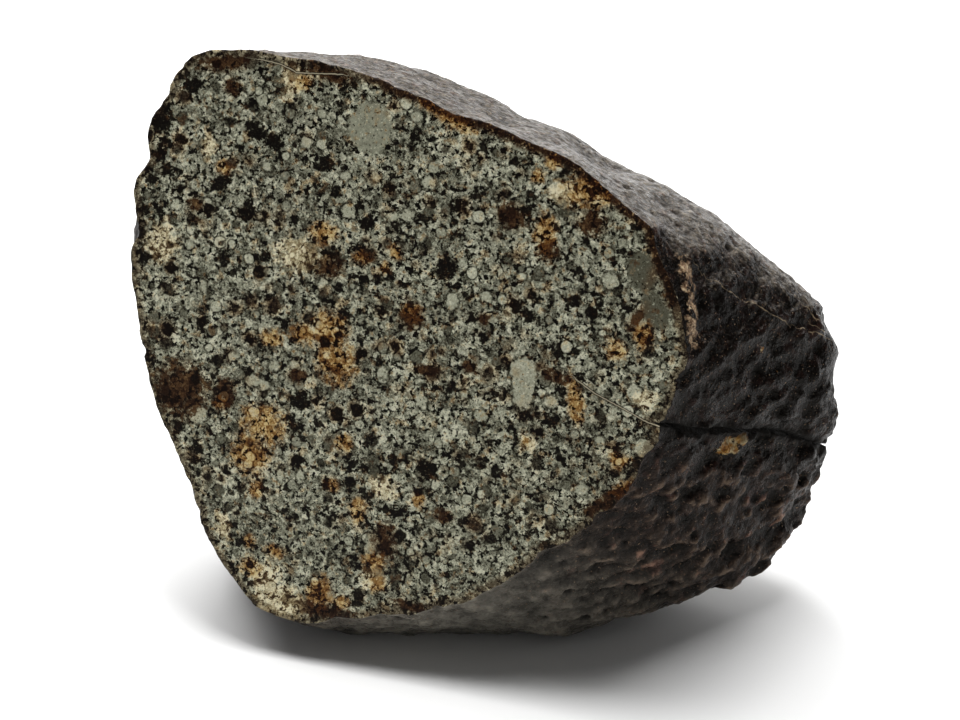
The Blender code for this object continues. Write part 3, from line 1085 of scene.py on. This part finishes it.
def dark_crust_finish():
    """Weathered outer skin: glossy brown-black and leathery, greyer on top partly as painted sheen, with
    chips and veins, painted shade in its hollows, painted glints and a painted reflection of the floor on
    its foot.
    """
    mix = Finish("dark_crust")
    hollow = mix.painted("hollow")
    top = mix.painted("top_side")
    fine = mix.clouds(0.55, 1, 3.0, 0.65)
    blotch = mix.clouds(1.9, 2, 4.0, 0.6)
    broad = mix.clouds(7.0, 3, 3.0, 0.55)
    tone = mix.sum(-0.30, mix.times(fine, 0.45), mix.times(blotch, 0.60), mix.times(broad, 0.50))
    # Painted shade: darker the deeper a place lies in a hollow, paler on the ridges
    tone = mix.calc("SUBTRACT", tone, mix.times(hollow, 1.3))
    # The right end is dimmed: partly its blacker crust, partly painted shade where it faces away from the
    # light
    shaded_black_end = mix.painted("shaded_black_end")
    tone = mix.dimmed(tone, shaded_black_end, 0.80)
    ruddy = mix.sum(mix.times(mix.painted("ruddy"), 0.20), mix.clouds(3.0, 4, 5.0, 0.65))
    ruddy = mix.between(ruddy, 0.58, 0.72)
    skin = mix.mix(ruddy, mix.ramp(tone, CRUST), mix.ramp(mix.sum(tone, 0.16), RUDDY))
    # Painted reflection: the foot takes a paler grey that stands in for the floor reflected in its glossy
    # underside
    skin = mix.mix(mix.painted("painted_floor_reflection"), skin, mix.ramp(mix.sum(tone, 0.20), FLOOR_REFLECTION_GREYS))
    maroon = mix.times(mix.between(mix.clouds(2.6, 12, 5.0, 0.7), 0.50, 0.64), shaded_black_end)
    skin = mix.mix(mix.times(maroon, 0.85), skin, mix.ramp(mix.sum(tone, 0.20), RUDDY))
    flecks = mix.between(mix.clouds(0.75, 8, 4.0, 0.7), 0.57, 0.68)
    flecks = mix.times(flecks, mix.between(broad, 0.40, 0.60))
    skin = mix.mix(mix.times(flecks, 0.36), skin, paint(104, 82, 66))

    # Roof: grey, partly its paler skin and partly painted sheen, with dark dashes, painted shade in its
    # hollows and ruddy patches
    streaks = mix.clouds(0.9, 9, 4.0, 0.7)
    roof_tone = mix.sum(-0.60, mix.times(streaks, 1.5), mix.times(fine, 0.60), mix.times(hollow, -0.6))
    roof = mix.mix(mix.between(mix.clouds(2.2, 10, 4.0, 0.65), 0.52, 0.66, 0.0, 0.45),
                   mix.ramp(roof_tone, ROOF), mix.ramp(mix.sum(roof_tone, 0.12), RUDDY))
    colour = mix.mix(mix.between(mix.sum(top, mix.times(streaks, 0.5)), 0.35, 1.15), skin, roof)

    # Pale chips, the bronze ridge, painted glints of light, thin veins and the shade of the crack
    breakup = mix.times(mix.calc("SUBTRACT", mix.clouds(0.9, 5, 4.0, 0.7), 0.5), 2.2)
    chip = mix.between(mix.sum(mix.painted("pale_chip"), breakup), 0.35, 0.75)
    chip_tone = mix.sum(-0.35, mix.times(blotch, 0.8), mix.times(fine, 0.9))
    colour = mix.mix(chip, colour, mix.mix(mix.between(mix.clouds(1.5, 11), 0.42, 0.58),
                                           mix.ramp(chip_tone, CREAM), mix.ramp(chip_tone, OCHRE)))
    pieces = mix.times(mix.calc("SUBTRACT", mix.clouds(1.6, 13, 3.0, 0.6), 0.5), 7.0)
    bronze = mix.times(mix.painted("bronze"), mix.sum(0.85, mix.times(breakup, 0.8), pieces))
    bronze = mix.between(bronze, 0.30, 0.90)
    bronze_tone = mix.sum(-0.90, mix.times(streaks, 1.7), mix.times(fine, 1.4))
    colour = mix.mix(mix.times(bronze, 0.85), colour, mix.ramp(bronze_tone, BRONZE))
    # Painted highlights: small pale specks standing in for glints of light on the glossy crust
    painted_glints = mix.between(mix.clouds(0.42, 6, 1.0, 0.5), 0.69, 0.77, 0.0, 0.5)
    colour = mix.mix(painted_glints, colour, paint(140, 118, 98))
    line = mix.calc("ABSOLUTE", mix.sum(mix.painted("fine_line"), mix.times(breakup, 0.25)))
    vein = mix.times(mix.between(line, 0.16, 0.05), mix.between(blotch, 0.40, 0.55, 0.2, 1.0))
    colour = mix.mix(vein, colour, paint(112, 98, 78))
    colour = mix.mix(mix.times(mix.painted("crack_shade"), 0.85), colour, paint(5, 4, 3))
    mix.link(colour, "Base Color")

    # Roughness: least on the darker right end, most beside the crack and in dull spots on the roof
    rough = mix.between(mix.sum(mix.times(blotch, 0.8), mix.times(fine, 0.2)), 0.38, 0.62, 0.22, 0.38)
    rough = mix.calc("SUBTRACT", rough, mix.times(shaded_black_end, 0.07))
    dull = mix.times(mix.between(mix.clouds(1.1, 14, 4.0, 0.7), 0.48, 0.60, 0.0, 0.32), top)
    dull = mix.sum(dull, mix.times(mix.painted("dull_top"), 0.13))
    mix.link(mix.sum(rough, dull, mix.times(mix.painted("crack_shade"), 0.35)), "Roughness")
    mix.shader.inputs["Specular IOR Level"].default_value = 0.10
    mix.shader.inputs["Specular Tint"].default_value = (1.0, 0.95, 0.86, 1.0)
    mix.bump(mix.sum(mix.times(fine, 0.6), mix.times(mix.clouds(1.3, 7, 3.0, 0.6), 1.4)), 0.34)
    return mix.material


def studio():
    bpy.ops.mesh.primitive_plane_add(size=FLOOR_SPAN)
    floor = bpy.context.object
    floor.name = "studio_floor"
    paper = bpy.data.materials.new("pale_paper")
    paper.use_nodes = True
    paper.node_tree.nodes["Principled BSDF"].inputs["Base Color"].default_value = PAPER
    paper.node_tree.nodes["Principled BSDF"].inputs["Roughness"].default_value = PAPER_ROUGHNESS
    floor.data.materials.append(paper)
    world = bpy.data.worlds.new("soft_sky")
    world.use_nodes = True
    world.node_tree.nodes["Background"].inputs["Color"].default_value = (1.0, 1.0, 1.0, 1.0)
    world.node_tree.nodes["Background"].inputs["Strength"].default_value = SKY_STRENGTH
    bpy.context.scene.world = world
    bpy.context.scene.view_settings.view_transform = "Standard"
    lights = {"top_light": TOP_LIGHT, "left_light": LEFT_LIGHT, "back_light": BACK_LIGHT}
    for name, (place, size, power) in lights.items():
        lamp = bpy.data.lights.new(name, "AREA")
        lamp.size = size
        lamp.energy = power
        stand = bpy.data.objects.new(name, lamp)
        bpy.context.scene.collection.objects.link(stand)
        stand.location = place
        aim = Vector(LIGHTS_AIM) - stand.location
        stand.rotation_euler = aim.to_track_quat("-Z", "Y").to_euler()
        stand.visible_camera = False


def place_camera():
    turn = math.radians(CAMERA_AZIMUTH)
    rise = math.radians(CAMERA_ELEVATION)
    back = Vector((math.sin(turn) * math.cos(rise), -math.cos(turn) * math.cos(rise), math.sin(rise)))
    view = bpy.data.cameras.new("camera")
    view.lens = CAMERA_LENS
    view.clip_start = 0.01
    camera = bpy.data.objects.new("camera", view)
    bpy.context.scene.collection.objects.link(camera)
    camera.location = FACE_MIDDLE + Vector(CAMERA_PLACE) * MM
    camera.rotation_euler = back.to_track_quat("Z", "Y").to_euler()
    bpy.context.scene.camera = camera


dark_crust = dark_crust_finish()
sawn_face = sawn_face_finish()
stone = rough_stone()
close_groove(stone)
carve_crust(stone)
saw_flat(stone)
flatten_foot(stone)
split_crack(stone)
merge_slivers(stone)
select_only(stone)
bpy.ops.object.shade_smooth_by_angle(angle=math.radians(SMOOTH_ANGLE))
paint_stone(stone)
studio()
place_camera()
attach(stone, "root")
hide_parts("stone")
